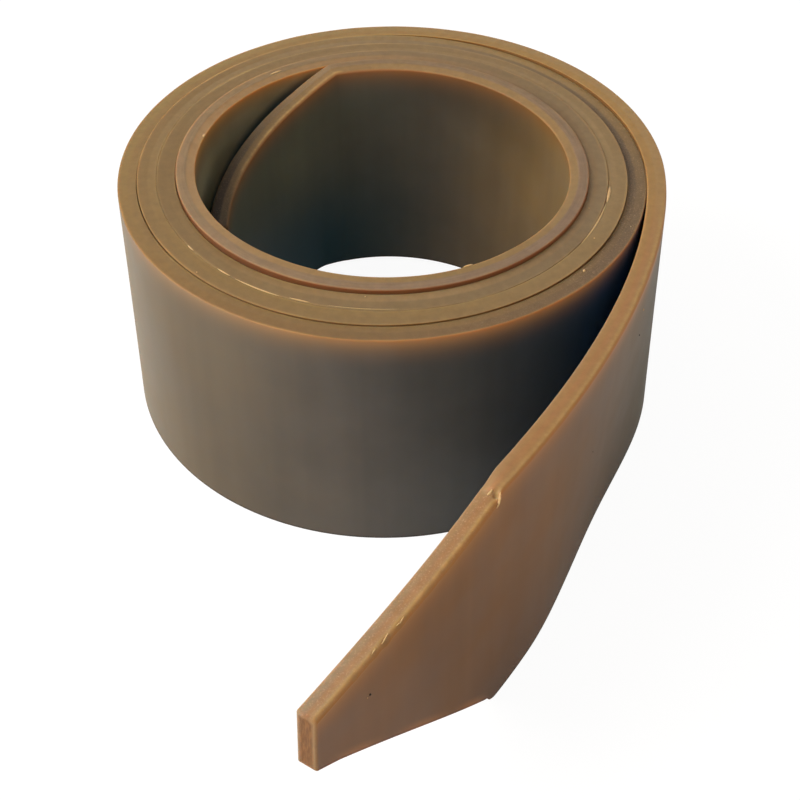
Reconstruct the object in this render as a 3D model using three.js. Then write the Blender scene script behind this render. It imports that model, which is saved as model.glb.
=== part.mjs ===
// A squeegee blade of soft polyurethane, rolled up for storage with its last stretch left free.
//
// One strip stands on its long edge and winds clockwise from the inner end outwards. The outer
// turn runs off at the right of the roll and the free end reaches forward and to the left.
// Both ends are cut down to a narrow nose. Millimetres, +Z up, the roll's axis is vertical.

import * as THREE from 'three';

// ---- driving dimensions ----------------------------------------------------------------------

const BLADE_WIDTH = 46.3; // long edge to long edge, the height that the roll stands
const BLADE_THICKNESS = 3.0;
const TURN_GAP = 0.45; // air between one turn and the next
const ROLL_RADIUS = 50.0; // to the outer face where the free end leaves
const ROLL_TURNS = 4.287; // from where the free end leaves to where the inner end leaves

const FREE_LENGTH = 132.0; // the free end, measured along the blade
const FREE_SPRING_RADIUS = 62.0; // how tightly the free end turns off the roll, beyond its set
const FREE_SPRING_LENGTH = 7.5; // distance over which that extra bend dies away
const FREE_SET_RADIUS = 102.0; // bend left by storage, which dies away towards the nose
const FREE_LEAN_IN = 2.56; // the lower edge leans this far to the roll in the first half
const FREE_LEAN_OUT = 0.9; // and this far away from it near the nose

const INNER_LEAD = 1.2; // plain blade between the roll and the shoulder of the inner end
const INNER_BOW_DEPTH = 3.6; // how far the inner end springs in from the turn behind it
const INNER_BOW_LENGTH = 51.0; // the inner end would meet that turn again after this length
const INNER_BOW_EASING = 4.0; // larger makes the bow start more softly
const INNER_BOW_DELAY = 5.5; // the lower edge starts to bow this much later than the upper one
const INNER_BOW_SKEW = 0.774; // below 1 puts the bow's deepest point nearer to the roll

// The outer end and the inner end are cut alike, but not to the same sizes.
const TAPER_LENGTH = 41.5; // from the shoulder on the upper edge to the nose
const SHOULDER_STEP_HEIGHT = 1.03; // small step down where the upper edge starts to fall
const NOSE_DROP = 9.5; // upper edge of the nose below the blade's upper edge
const HEEL_SETBACK = 2.4; // the lower edge starts to rise this much nearer to the nose
const INNER_TAPER_LENGTH = 46.5;
const INNER_SHOULDER_STEP_HEIGHT = 0.66;
const INNER_NOSE_DROP = 10.2;
const INNER_HEEL_SETBACK = 14.0;
const SHOULDER_RAMP_LENGTH = 0.4; // length of the slope that makes a shoulder's step
const HEEL_STEP_HEIGHT = 1.0; // small step up where the lower edge starts to rise
const HEEL_RAMP_LENGTH = 1.0;
const NOSE_HEIGHT = 10.6;
const NOSE_SKEW = 0.38; // the cut leaves the inner face of the nose this much longer
const NOSE_RAKE = 0.79; // and its lower edge this much longer

const FOOT_FLARE = 0.8; // the outer turn's lower edge stands this much further out than its upper one
const INNER_FOOT_TUCK = 0.5; // the innermost turn's lower edge stands this much further in
const INNER_RISE_HEIGHT = 0.89; // the innermost turn stands this much higher than the outer one
const FRONT_RISE_HEIGHT = 0.98; // and this much more again where it passes the front

const STEPS_PER_TURN = 60;
const END_STEP = 2.6; // largest distance between two sections of an end

const RUBBER_COLOUR = '#7a6040';

// ---- worked out ------------------------------------------------------------------------------

const FULL_TURN = 2 * Math.PI;
const PITCH = BLADE_THICKNESS + TURN_GAP;
const CENTRE_RADIUS = ROLL_RADIUS - BLADE_THICKNESS / 2;
const START_TURN = 1 / 120; // a touch behind +X, so that the free end leaves at the far right
const END_TURN = START_TURN + ROLL_TURNS;
const END_RADIUS = CENTRE_RADIUS - PITCH * END_TURN;
const INNER_LENGTH = INNER_TAPER_LENGTH + INNER_LEAD;
const OUTER_CUT = {
  taper: TAPER_LENGTH,
  shoulderStep: SHOULDER_STEP_HEIGHT,
  noseDrop: NOSE_DROP,
  heelSetback: HEEL_SETBACK,
};
const INNER_CUT = {
  taper: INNER_TAPER_LENGTH,
  shoulderStep: INNER_SHOULDER_STEP_HEIGHT,
  noseDrop: INNER_NOSE_DROP,
  heelSetback: INNER_HEEL_SETBACK,
};

// Turns are counted inwards from +X on the outer turn, so a pass at the front ends in three
// quarters. A rise is spread over so many turns to either side of its place.
const FRONT_PASS = Math.floor(ROLL_TURNS - 0.5) + 0.75;
const PASS_SPREAD = 0.25;
const INNER_RISE_STARTS = 0.9;
const INNER_RISE_ENDS = FRONT_PASS - 0.15;
const FLARE_CHANGE_STARTS = 0.5;
const FLARE_CHANGE_ENDS = 4.0;

// The free end's leans have their place and spread as shares of its length.
const LEAN_IN_PLACE = 0.36;
const LEAN_IN_SPREAD = 0.26;
const LEAN_OUT_PLACE = 0.76;
const LEAN_OUT_SPREAD = 0.2;

// Is 1 in the middle and has died away at the spread to either side.
function hump(value, middle, spread) {
  const away = Math.min(Math.abs(value - middle) / spread, 1);
  return Math.cos((away * Math.PI) / 2) ** 2;
}

// How high the lower edge stands above the ground.
function riseAt(turn) {
  const inwards = THREE.MathUtils.smoothstep(turn, INNER_RISE_STARTS, INNER_RISE_ENDS);
  const front = hump(turn, FRONT_PASS, PASS_SPREAD);
  return INNER_RISE_HEIGHT * inwards + FRONT_RISE_HEIGHT * front;
}

// How much further out the lower edge stands than the upper one.
function flareAt(turn) {
  const span = FLARE_CHANGE_ENDS - FLARE_CHANGE_STARTS;
  const share = THREE.MathUtils.clamp((turn - FLARE_CHANGE_STARTS) / span, 0, 1);
  return THREE.MathUtils.lerp(FOOT_FLARE, -INNER_FOOT_TUCK, share);
}

// The middle of the blade's thickness on the roll and on the inner end, seen from above. The
// delay puts the start of the bow so much later.
function rolledPoint(turn, delay = 0) {
  const past = Math.max((turn - END_TURN) * FULL_TURN * END_RADIUS - delay, 0);
  const eased = past ** 2 / (past + INNER_BOW_EASING);
  const along = Math.min(eased / INNER_BOW_LENGTH, 1);
  const bow = INNER_BOW_DEPTH * Math.sin(Math.PI * along ** INNER_BOW_SKEW);
  const radius = CENTRE_RADIUS - PITCH * turn - bow;
  const angle = turn * FULL_TURN;
  return new THREE.Vector2(radius * Math.cos(angle), radius * Math.sin(angle));
}

// Heights of the upper and lower edge above the blade's own foot, by the distance to a nose.
function edgesAt(fromNose, cut) {
  const heel = cut.taper - cut.heelSetback;
  const noseTop = BLADE_WIDTH - cut.noseDrop;
  const noseFoot = noseTop - NOSE_HEIGHT;
  let top = BLADE_WIDTH;
  let foot = 0;
  if (fromNose < cut.taper) {
    const ramp = Math.min((cut.taper - fromNose) / SHOULDER_RAMP_LENGTH, 1);
    const shoulder = BLADE_WIDTH - cut.shoulderStep * ramp;
    top = THREE.MathUtils.lerp(noseTop, shoulder, fromNose / cut.taper);
  }
  if (fromNose < heel) {
    const ramp = Math.min((heel - fromNose) / HEEL_RAMP_LENGTH, 1);
    foot = THREE.MathUtils.lerp(noseFoot, HEEL_STEP_HEIGHT * ramp, fromNose / heel);
  }
  return { top, foot };
}

// Distances from the nose along an end, with a close pair at the shoulder and at the heel.
function endStations(length, cut) {
  const heel = cut.taper - cut.heelSetback;
  const heelRamp = [heel - HEEL_RAMP_LENGTH, heel];
  const shoulderRamp = [cut.taper - SHOULDER_RAMP_LENGTH, cut.taper];
  const marks = [0, ...heelRamp, ...shoulderRamp, length];
  const stations = [0];
  for (let i = 1; i < marks.length; i += 1) {
    const span = marks[i] - marks[i - 1];
    const count = Math.max(Math.ceil(span / END_STEP), 1);
    for (let k = 1; k <= count; k += 1) {
      stations.push(marks[i - 1] + (span * k) / count);
    }
  }
  return stations;
}

// ---- the blade's middle line, from the inner nose to the outer nose ---------------------------
//
// A station has its place at the blade's full height, the way that the blade runs there, how far
// its foot stands out from that place, its rise and the heights of its two edges.

function rolledStation(turn, edges) {
  const nearby = 0.001;
  const at = rolledPoint(turn);
  const along = rolledPoint(turn - nearby).sub(rolledPoint(turn + nearby)).normalize();
  const footShift = rolledPoint(turn, INNER_BOW_DELAY).sub(at);
  footShift.addScaledVector(outwardOf(along), flareAt(turn));
  return { at, along, footShift, rise: riseAt(turn), reach: 0, ...edges };
}

function outwardOf(along) {
  return new THREE.Vector2(-along.y, along.x);
}

function innerEndLine() {
  const stations = endStations(INNER_LENGTH, INNER_CUT).map((fromNose) => {
    const turn = END_TURN + (INNER_LENGTH - fromNose) / (FULL_TURN * END_RADIUS);
    return rolledStation(turn, edgesAt(fromNose, INNER_CUT));
  });
  stations[0].reach = -1;
  return stations;
}

function rollLine() {
  const steps = Math.round(ROLL_TURNS * STEPS_PER_TURN);
  const line = [];
  for (let i = steps - 1; i > 0; i -= 1) {
    const turn = START_TURN + (i * ROLL_TURNS) / steps;
    line.push(rolledStation(turn, { top: BLADE_WIDTH, foot: 0 }));
  }
  return line;
}

// The free end starts in line with the roll and bends on by its own curvature.
function freeEndLine() {
  const walkStep = FREE_LENGTH / 300;
  const start = rolledStation(START_TURN);
  const place = start.at;
  let heading = start.along.angle();
  let travelled = 0;
  const stations = endStations(FREE_LENGTH, OUTER_CUT).reverse();
  const line = stations.map((fromNose) => {
    const target = FREE_LENGTH - fromNose;
    const count = Math.ceil((target - travelled) / walkStep);
    const step = (target - travelled) / Math.max(count, 1);
    for (let i = 0; i < count; i += 1) {
      const middle = travelled + step / 2;
      const spring = Math.exp(-middle / FREE_SPRING_LENGTH) / FREE_SPRING_RADIUS;
      const set = (1 - middle / FREE_LENGTH) / FREE_SET_RADIUS;
      const bend = (spring + set) * step;
      place.x += step * Math.cos(heading - bend / 2);
      place.y += step * Math.sin(heading - bend / 2);
      heading -= bend;
      travelled += step;
    }
    const share = travelled / FREE_LENGTH;
    const leanIn = FREE_LEAN_IN * hump(share, LEAN_IN_PLACE, LEAN_IN_SPREAD);
    const leanOut = FREE_LEAN_OUT * hump(share, LEAN_OUT_PLACE, LEAN_OUT_SPREAD);
    const along = new THREE.Vector2(Math.cos(heading), Math.sin(heading));
    const footShift = outwardOf(along).multiplyScalar(FOOT_FLARE - leanIn + leanOut);
    const edges = edgesAt(fromNose, OUTER_CUT);
    return { at: place.clone(), along, footShift, rise: 0, reach: 0, ...edges };
  });
  line[line.length - 1].reach = 1;
  return line;
}

// ---- sections across the blade, joined into one closed body -----------------------------------

function placeAt(station, out, height) {
  const down = 1 - height / BLADE_WIDTH;
  const place = station.at.clone();
  place.addScaledVector(outwardOf(station.along), out);
  return place.addScaledVector(station.footShift, down);
}

function sectionsAlong(line) {
  return line.map((station) => {
    const corner = (side, height) => {
      const place = placeAt(station, (side * BLADE_THICKNESS) / 2, height);
      const skew = side < 0 ? NOSE_SKEW : 0;
      const rake = height === station.foot ? NOSE_RAKE : 0;
      place.addScaledVector(station.along, station.reach * (skew + rake));
      return new THREE.Vector3(place.x, place.y, height + station.rise);
    };
    const { top, foot } = station;
    return [corner(1, foot), corner(1, top), corner(-1, top), corner(-1, foot)];
  });
}

function closedStrip(sections) {
  const sides = sections[0].length;
  const positions = sections.flat().flatMap((point) => point.toArray());
  const faces = [];
  for (let i = 0; i < sections.length - 1; i += 1) {
    for (let k = 0; k < sides; k += 1) {
      const a = i * sides + k;
      const b = i * sides + ((k + 1) % sides);
      faces.push(a, b, b + sides, a, b + sides, a + sides);
    }
  }
  const last = (sections.length - 1) * sides;
  for (let k = 1; k < sides - 1; k += 1) {
    faces.push(0, k + 1, k, last, last + k, last + k + 1);
  }
  const geometry = new THREE.BufferGeometry();
  geometry.setAttribute('position', new THREE.Float32BufferAttribute(positions, 3));
  geometry.setIndex(faces);
  geometry.computeVertexNormals();
  return geometry;
}

// ---- lengths and gaps, measured on points of the middle line ------------------------------------

function pointsAlong(line, height) {
  const perSection = 8;
  const points = [];
  let along = 0;
  for (let i = 1; i < line.length; i += 1) {
    const from = placeAt(line[i - 1], 0, height);
    const to = placeAt(line[i], 0, height);
    for (let k = 0; k < perSection; k += 1) {
      const share = k / perSection;
      points.push({ at: from.clone().lerp(to, share), along: along + share * from.distanceTo(to) });
    }
    along += from.distanceTo(to);
  }
  return points;
}

// The least air between two stretches of the blade. Points less than a few thicknesses apart
// along the blade belong to one stretch.
function leastGap(points) {
  const sameStretch = 6 * BLADE_THICKNESS;
  let least = Infinity;
  points.forEach((point, i) => {
    for (let j = i + 1; j < points.length; j += 1) {
      if (points[j].along - point.along > sameStretch) {
        least = Math.min(least, point.at.distanceTo(points[j].at));
      }
    }
  });
  return least - BLADE_THICKNESS;
}

const bladeLine = [...innerEndLine(), ...rollLine(), ...freeEndLine()];
const upperPoints = pointsAlong(bladeLine, BLADE_WIDTH);
const lowerPoints = pointsAlong(bladeLine, 0);
const bladeGap = Math.min(leastGap(upperPoints), leastGap(lowerPoints));
console.log(`blade length laid flat: ${upperPoints[upperPoints.length - 1].along.toFixed(0)} mm`);
console.log(`least gap of the blade to itself: ${bladeGap.toFixed(3)} mm`);

// ---- the part, its origin on the ground under the middle of its box ----------------------------

const blade = new THREE.Mesh(
  closedStrip(sectionsAlong(bladeLine)),
  new THREE.MeshStandardMaterial({ color: RUBBER_COLOUR, roughness: 0.45, metalness: 0 }),
);
blade.name = 'squeegee_blade';
blade.geometry.computeBoundingBox();
const boxMiddle = blade.geometry.boundingBox.getCenter(new THREE.Vector3());
blade.position.set(-boxMiddle.x, -boxMiddle.y, 0);

const rolledBlade = new THREE.Group();
rolledBlade.add(blade);

export default rolledBlade;
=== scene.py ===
"""Dresses the rolled squeegee blade: one polyurethane strip, its trimming flash and the studio."""

import math
from dataclasses import dataclass
from functools import partial

import bmesh
import bpy
from mathutils import Matrix, Vector, noise


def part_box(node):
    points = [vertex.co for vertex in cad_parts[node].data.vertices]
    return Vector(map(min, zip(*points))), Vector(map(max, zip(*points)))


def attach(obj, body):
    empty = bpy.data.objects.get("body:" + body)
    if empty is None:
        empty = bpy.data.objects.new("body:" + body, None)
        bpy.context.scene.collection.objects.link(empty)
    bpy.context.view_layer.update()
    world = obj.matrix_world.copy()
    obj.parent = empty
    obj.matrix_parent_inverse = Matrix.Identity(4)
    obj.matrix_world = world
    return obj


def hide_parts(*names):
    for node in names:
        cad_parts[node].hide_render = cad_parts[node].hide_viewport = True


bl_info = {
    "name": "Rolled Squeegee Blade",
    "version": (1, 0, 0),
    "blender": (4, 5, 0),
    "location": "View3D > Sidebar > Blade",
    "description": "Makes a rolled polyurethane squeegee blade and a plain studio for it",
    "category": "Add Mesh",
}

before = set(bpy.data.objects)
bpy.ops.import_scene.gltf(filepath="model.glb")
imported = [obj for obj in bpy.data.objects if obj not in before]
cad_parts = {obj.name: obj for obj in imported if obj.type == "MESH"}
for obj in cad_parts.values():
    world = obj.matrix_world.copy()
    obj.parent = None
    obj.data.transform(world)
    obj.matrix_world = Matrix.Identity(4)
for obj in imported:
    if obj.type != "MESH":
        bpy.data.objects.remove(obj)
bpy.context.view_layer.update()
BLADE_NODE = "squeegee_blade"

MM = 0.001
FULL_TURN = 2 * math.pi

# Turns are counted inwards from +X on the outer turn, and the free end counts below nought. So a
# quarter is at the back, a half at the left and three quarters at the front, on every turn. A rise
# or a fall is the pair of turns between which it happens.
BACK_TURN, LEFT_TURN = 0.25, 0.5
# The roll starts half a step of the frame's strip past +X. The free end takes on its own look
# over a tenth of a turn.
START_TURN, FREE_START = 1 / 120, (0.0, 0.1)
FRONT_RISE, FRONT_FALL = (3.47, 3.67), (3.84, 4.02)
SECOND_RISE, INNER_RISE, FLARE_CHANGE = (0.9, 1.6), (2.9, 3.5), (0.5, 4.0)
# The inner edge of the third turn's front is dragged up by the turn that stands higher.
DRAGGED_RISE, DRAGGED_FALL = (2.59, 2.74), (2.87, 2.96)
# Where other turns come to cover the outer upper edge and the inner one. On the last turn both
# are open again, and they are worn towards the inner end.
OUTER_COVERED, INNER_COVERED = (0.93, 1.0), (-0.08, 0.0)
RAISED_EDGE, INNER_EDGE, INNER_END_WEAR = (3.3, 3.5), (3.26, 3.32), (4.15, 4.32)
# Hairlines between two turns: the turn at their middle, half their length and their width.
HAIRLINES = ((0.55, 0.10, 0.12), (2.52, 0.12, 0.10))

# The free end's leans: where they are and how far they spread, as shares of its length.
LEAN_IN, LEAN_OUT = (0.36, 0.26), (0.72, 0.24)

# How finely the line is drawn: steps a turn on the roll, and the longest step on an end, in
# millimetres. A stretch of a millimetre or less has at least so many.
ROLL_STEPS, END_STEP, SHORT_STRETCH_STEPS = 180, 0.55, 5


def linear(hex_colour):
    """Turns an sRGB hex colour such as "#7a6040" into the linear colour that shaders take."""
    channels = [int(hex_colour[i:i + 2], 16) / 255 for i in (1, 3, 5)]
    plain = [c / 12.92 if c <= 0.04045 else ((c + 0.055) / 1.055) ** 2.4 for c in channels]
    return (*plain, 1.0)


# ---- sizes and colours ----


def mm(name, default, description):
    """A length that the panel shows, in millimetres."""
    return bpy.props.FloatProperty(name=name, default=default, description=description, precision=2)


def colour(name, hex_colour, description):
    """A colour property from an sRGB hex value."""
    return bpy.props.FloatVectorProperty(
        name=name, subtype="COLOR", size=4, default=linear(hex_colour), description=description)


class BladeSizes(bpy.types.PropertyGroup):
    """The sizes of the strip and of the way it is rolled, all in millimetres unless said."""

    width: mm("Width", 46.3, "Long edge to long edge")
    cad_thickness: mm("Thickness of the frame's strip", 3.0, "Its outer face is kept here")
    pitch: mm("Pitch", 3.45, "From one turn to the next")
    seam: mm("Seam", 0.03, "Air left between two turns that touch")
    roll_radius: mm("Roll radius", 50.0, "To the outer face where the free end leaves")
    roll_oval: mm("Roll oval", 0.085, "Slant squeeze of the roll, more on each turn inwards")
    face_inset: mm("Face inset", 0.08, "Keeps the smooth face inside the faceted frame")
    turns: bpy.props.FloatProperty(
        name="Turns", default=4.287, description="From the free end to the inner end")
    free_length: mm("Free end", 132.0, "Measured along the blade")
    free_spring_radius: mm("Spring radius", 62.0, "Extra bend where the free end leaves")
    free_spring_length: mm("Spring length", 7.5, "Over which that bend dies away")
    free_set_radius: mm("Set radius", 102.0, "Bend left by storage, none at the nose")
    free_lean_in: mm("Lean in", 2.56, "Of the free end's lower edge, to the roll")
    free_lean_out: mm("Lean out", 0.9, "And away from it near the nose")
    inner_lead: mm("Inner lead", 1.2, "Plain blade before the inner shoulder")
    inner_bow: mm("Inner bow", 3.6, "How far the inner end springs in")
    inner_bow_length: mm("Bow length", 51.0, "Where the bow would close again")
    inner_bow_easing: mm("Bow easing", 4.0, "Larger makes the bow start more softly")
    inner_bow_delay: mm("Bow delay", 5.5, "The lower edge bows this much later")
    inner_bow_skew: bpy.props.FloatProperty(
        name="Bow skew", default=0.774, description="Below 1, the bow is deepest near the roll")
    taper_length: mm("Taper", 41.5, "From the shoulder to the nose")
    shoulder_step: mm("Shoulder step", 1.03, "Step down of the upper edge")
    nose_drop: mm("Nose drop", 9.5, "Upper edge of the nose below the blade's")
    heel_setback: mm("Heel setback", 2.4, "The lower edge starts to rise this much later")
    inner_taper_length: mm("Inner taper", 46.5, "The same four sizes for the inner end")
    inner_shoulder_step: mm("Inner shoulder step", 0.66, "Step down of its upper edge")
    inner_nose_drop: mm("Inner nose drop", 10.2, "Upper edge of its nose below the blade's")
    inner_heel_setback: mm("Inner heel setback", 14.0, "Its lower edge rises this much later")
    shoulder_ramp: mm("Shoulder ramp", 0.7, "Length of the slope of the shoulder's step")
    inner_shoulder_ramp: mm("Inner shoulder ramp", 9.0, "The same for the soft inner end")
    heel_step: mm("Heel step", 1.0, "Step up of the lower edge")
    heel_ramp: mm("Heel ramp", 1.0, "Length of the slope of a heel's step")
    taper_hollow: mm("Taper hollow", 0.38, "The upper slope sags this much")
    heel_hollow: mm("Heel hollow", 0.14, "The lower slope is ground in this much")
    nose_height: mm("Nose height", 10.6, "Of the square end")
    nose_skew: mm("Nose skew", 0.38, "The cut leaves the nose's inner face this much longer")
    nose_rake: mm("Nose rake", 0.79, "And its lower edge this much longer")
    foot_flare: mm("Foot flare", 0.8, "The lower edge stands this much further out")
    inner_foot_tuck: mm("Foot tuck", 0.5, "On the innermost turn, this much further in")
    second_rise: mm("Second rise", 0.3, "The second and third turns stand higher by this")
    inner_rise: mm("Inner rise", 0.89, "The innermost turn stands this much higher")
    front_rise: mm("Front rise", 0.98, "The innermost front stands higher again")
    slump: mm("Slump", 0.8, "The second turn sags this much at the right")
    edge_radius: mm("Edge radius", 0.2, "Rounding of the long edges that lie open")
    free_radius: mm("Free edge radius", 0.45, "Rounding of the free end's outer upper edge")
    worn_radius: mm("Worn edge radius", 0.75, "And along its taper, which is worn")
    nose_radius: mm("Nose radius", 0.5, "Rounding of the square ends")
    heel_wear: mm("Heel wear", 0.5, "The heel's corner is worn off by this much")
    seam_radius: mm("Seam radius", 0.05, "Rounding of an upper edge that another turn touches")


class BladeColours(bpy.types.PropertyGroup):
    """What the polyurethane shows at its slit edges, its ground ends and its trimmings, and the
    painted shade low in the bore and along its lower edge.
    """

    line: colour("Edge line", "#b8945c", "Along a slit edge, where light comes through")
    # Deep is painted blue-black shade, low in the bore and along the slit beside the inner end.
    deep: colour("Deep", "#0c3e4c", "Low in the bore, where warm light hardly reaches")
    dull: colour("Dull edge", "#7c7460", "Inner edge of the free end, waxy and grey")
    heart: colour("Heart", "#9a6440", "Redder middle of the free end's rim")
    dust: colour("Dust", "#c8a080", "Pale grains on the ground tapers")
    cut_end: colour("Cut end", "#745030", "The sawn square end")
    # The foot colour is a painted contact shadow along the lower edge.
    foot: colour("Foot", "#20180e", "Grime along the lower edge")
    flash: colour("Flash", "#c4a070", "Thin slivers left by the slitting knife")
    grit: colour("Grit", "#2a221c", "Dark grains stuck to the blade")


# Tones along the blade, by turn: what the strip's colour is once the gloss is taken off, with
# painted light and shade in it: the rims painted darker at the front right, where the free end
# shades them, the outer face painted blue-black as shade in the wedge under the free end, the
# bore's pocket painted lighter and the inner end's tip painted darker. Pairs run from the outer
# nose inwards.
RIM_TONES = (
    (-0.42, "#9c8260"), (-0.25, "#947246"), (0.05, "#93754a"), (0.40, "#826a3e"), (0.65, "#7a5e38"),
    (0.92, "#64523e"), (1.14, "#8a7049"), (1.38, "#735a34"), (1.95, "#826a46"), (2.50, "#705834"),
    (2.85, "#7e694c"), (3.15, "#745e3e"), (3.45, "#7e684c"), (3.90, "#7e6854"), (4.33, "#7a6448"),
    (4.42, "#4e4232"), (4.52, "#302822"))
RIM_INNER_TONES = (
    (-0.42, "#8e7c62"), (-0.25, "#927046"), (0.10, "#92713f"), (0.40, "#80653c"), (0.80, "#785e3c"),
    (1.00, "#60503e"), (1.25, "#7e6848"), (1.60, "#7c623a"), (2.05, "#866e4a"), (2.50, "#725a36"),
    (2.80, "#8c7250"), (3.08, "#705a3c"), (3.45, "#967650"), (3.80, "#80663e"), (4.25, "#8a6e48"),
    (4.52, "#4c3e28"))
OUTER_TONES = (
    (-0.42, "#6c4826"), (-0.25, "#73502f"), (-0.05, "#504936"), (0.4, "#605242"), (0.53, "#645742"),
    (0.62, "#584b38"), (0.72, "#59524a"), (0.79, "#4a4b4b"), (0.86, "#2e4052"), (0.90, "#2a507a"),
    (1.00, "#3880c8"), (1.20, "#2c2216"), (3.62, "#3a2818"), (3.80, "#5c3c24"), (4.25, "#18242e"))
INNER_TONES = (
    (-0.45, "#6a4a30"), (0.00, "#5a4028"), (3.20, "#605a46"), (3.60, "#605a46"), (4.05, "#6e5838"),
    (4.12, "#645239"), (4.20, "#595145"), (4.27, "#5f5d51"), (4.35, "#636453"), (4.52, "#4c5248"))
# The same just below an upper edge, where light comes through the rim.
OUTER_GLOWS = (
    (-0.42, "#a26a2c"), (-0.10, "#b27842"), (0.00, "#8a6c48"), (0.45, "#5c4a36"), (0.53, "#4c3e2e"),
    (0.57, "#785a38"), (0.64, "#866848"), (0.72, "#a07648"), (0.80, "#c48c56"), (0.92, "#cc9458"),
    (1.10, "#745a38"), (3.62, "#74482a"), (3.76, "#84522f"), (3.95, "#965e38"), (4.20, "#3c2e1e"))
INNER_GLOWS = (
    (-0.45, "#6a5030"), (0.00, "#7e5a32"), (0.30, "#7e5a32"), (3.20, "#c08848"), (3.40, "#dc9c54"),
    (3.60, "#b07c40"), (4.03, "#7a5428"), (4.17, "#88592d"), (4.26, "#b0723c"), (4.34, "#b4743c"),
    (4.52, "#7a5830"))
# The turns between which all tones lie.
FIRST_TONE, LAST_TONE = -0.45, 4.52


# ---- the line that the blade follows ----


def clamp(value):
    """Keeps a share between 0 and 1."""
    return min(max(value, 0.0), 1.0)


def smoothstep(value, start, end):
    """Goes from 0 to 1 between start and end, with no corner."""
    share = clamp((value - start) / (end - start))
    return share * share * (3 - 2 * share)


def plateau(value, rise, fall):
    """Is 1 between a rise and a fall, each with its start and end, and 0 before and after them."""
    return smoothstep(value, *rise) * (1 - smoothstep(value, *fall))


def hump(value, middle, spread):
    """Is 1 in the middle and has died away at the spread to either side."""
    away = min(abs(value - middle) / spread, 1.0)
    return math.cos(away * math.pi / 2) ** 2


def outward_of(heading):
    """The way that the outer face looks where the blade runs along a heading."""
    return Vector((-heading.y, heading.x))


def polar(angle, radius=1.0):
    """A flat vector by its angle and length."""
    return Vector((radius * math.cos(angle), radius * math.sin(angle)))


@dataclass
class Station:
    """One place along the blade, at the middle of the frame's strip and at full height."""

    at: Vector
    heading: Vector
    foot_shift: Vector
    turn: float
    from_nose: float
    rise: float
    foot: float
    top: float
    side: int = 1
    along: float = 0.0

    @property
    def outward(self):
        """The way that the outer face looks."""
        return outward_of(self.heading)


@dataclass
class Cut:
    """How one end is cut, each value under the name of its size."""

    taper_length: float
    shoulder_step: float
    nose_drop: float
    heel_setback: float
    shoulder_ramp: float


def cut_of(sizes, end=""):
    """The free end's cut, or that of the inner end, whose sizes have inner_ before their names."""
    return Cut(*(getattr(sizes, end + name) for name in Cut.__dataclass_fields__))


def rise_at(sizes, turn):
    """How high the lower edge stands above the ground."""
    second = sizes.second_rise * smoothstep(turn, *SECOND_RISE)
    inner = (sizes.inner_rise - sizes.second_rise) * smoothstep(turn, *INNER_RISE)
    return second + inner + sizes.front_rise * plateau(turn, FRONT_RISE, FRONT_FALL)


def flare_at(sizes, turn):
    """How much further out the lower edge stands than the upper one."""
    start, end = FLARE_CHANGE
    share = clamp((turn - start) / (end - start))
    return sizes.foot_flare * (1 - share) - sizes.inner_foot_tuck * share


def end_radius(sizes):
    """Radius of the strip's middle where the inner end leaves the roll."""
    return sizes.roll_radius - sizes.cad_thickness / 2 - sizes.pitch * (START_TURN + sizes.turns)


def rolled_point(sizes, turn, delay=0.0):
    """The middle of the frame's strip on the roll and on the inner end."""
    past = max((turn - START_TURN - sizes.turns) * FULL_TURN * end_radius(sizes) - delay, 0.0)
    eased = past ** 2 / (past + sizes.inner_bow_easing)
    along = min(eased / sizes.inner_bow_length, 1.0)
    bow = sizes.inner_bow * math.sin(math.pi * along ** sizes.inner_bow_skew)
    squeeze = sizes.roll_oval * max(turn, 0.0) * math.sin(2 * turn * FULL_TURN)
    radius = sizes.roll_radius - sizes.cad_thickness / 2 - sizes.pitch * turn - bow - squeeze
    return polar(turn * FULL_TURN, radius)


def rolled_station(sizes, turn, from_nose=math.inf):
    """A station on the roll or on the inner end."""
    nearby = 0.001
    at = rolled_point(sizes, turn)
    heading = rolled_point(sizes, turn - nearby) - rolled_point(sizes, turn + nearby)
    heading.normalize()
    shift = rolled_point(sizes, turn, sizes.inner_bow_delay) - at
    shift += outward_of(heading) * flare_at(sizes, turn)
    foot, top = edges_at(sizes, from_nose, cut_of(sizes, "inner_"))
    return Station(at, heading, shift, turn, from_nose, rise_at(sizes, turn), foot, top)


def inner_end_line(sizes):
    """Stations of the inner end, from its nose to the roll."""
    length = sizes.inner_taper_length + sizes.inner_lead
    line = []
    for from_nose in end_stations(sizes, length, cut_of(sizes, "inner_")):
        turn = START_TURN + sizes.turns + (length - from_nose) / (FULL_TURN * end_radius(sizes))
        line.append(rolled_station(sizes, turn, from_nose))
        line[-1].side = -1
    return line


def roll_line(sizes):
    """Stations of the roll, from the inner end to the free end."""
    steps = round(sizes.turns * ROLL_STEPS)
    return [rolled_station(sizes, START_TURN + i * sizes.turns / steps)
            for i in range(steps - 1, 0, -1)]


def free_end_line(sizes):
    """Stations of the free end, from the roll to its nose. It bends on by its own curvature."""
    start = rolled_station(sizes, START_TURN)
    heading = math.atan2(start.heading.y, start.heading.x)
    place, length, cut = start.at, sizes.free_length, cut_of(sizes)
    travelled = 0.0
    line = []
    for from_nose in reversed(end_stations(sizes, length, cut)):
        stride = length - from_nose - travelled
        middle = travelled + stride / 2
        spring = math.exp(-middle / sizes.free_spring_length) / sizes.free_spring_radius
        bend = (spring + (1 - middle / length) / sizes.free_set_radius) * stride
        place = place + stride * polar(heading - bend / 2)
        heading -= bend
        travelled += stride
        share = travelled / length
        lean = sizes.free_lean_in * hump(share, *LEAN_IN)
        lean -= sizes.free_lean_out * hump(share, *LEAN_OUT)
        ahead = polar(heading)
        turn = START_TURN - travelled / (FULL_TURN * sizes.roll_radius)
        line.append(Station(place, ahead, outward_of(ahead) * (sizes.foot_flare - lean), turn,
                            from_nose, 0.0, *edges_at(sizes, from_nose, cut)))
    return line


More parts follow.
